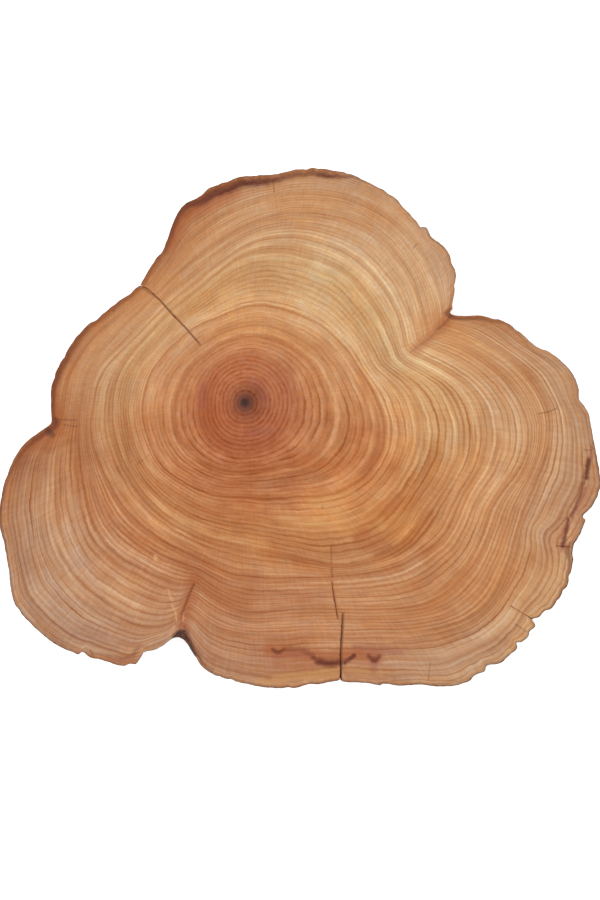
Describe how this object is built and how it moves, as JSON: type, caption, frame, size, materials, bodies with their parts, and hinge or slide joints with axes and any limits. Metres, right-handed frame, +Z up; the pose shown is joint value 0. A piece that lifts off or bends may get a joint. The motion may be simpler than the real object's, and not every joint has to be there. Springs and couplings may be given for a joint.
{
  "type": "wood slice",
  "caption": "Round of wood sawn across a lobed log, with growth rings, drying cracks and thin ridged bark, used flat as a stand, tray or display base.",
  "frame": {"origin": "middle of the outline's bounding box, on the lower sawn face", "axes": "+X along the widest span of the outline, +Y across it towards the single upper lobe, +Z up out of the upper sawn face"},
  "size_m": [0.3014, 0.2606, 0.028],
  "materials": {
    "wood": "dry sawn end grain, matte, unsealed"
  },
  "bodies": {
    "root": {"wood_slice": "wood"}
  },
  "joints": []
}
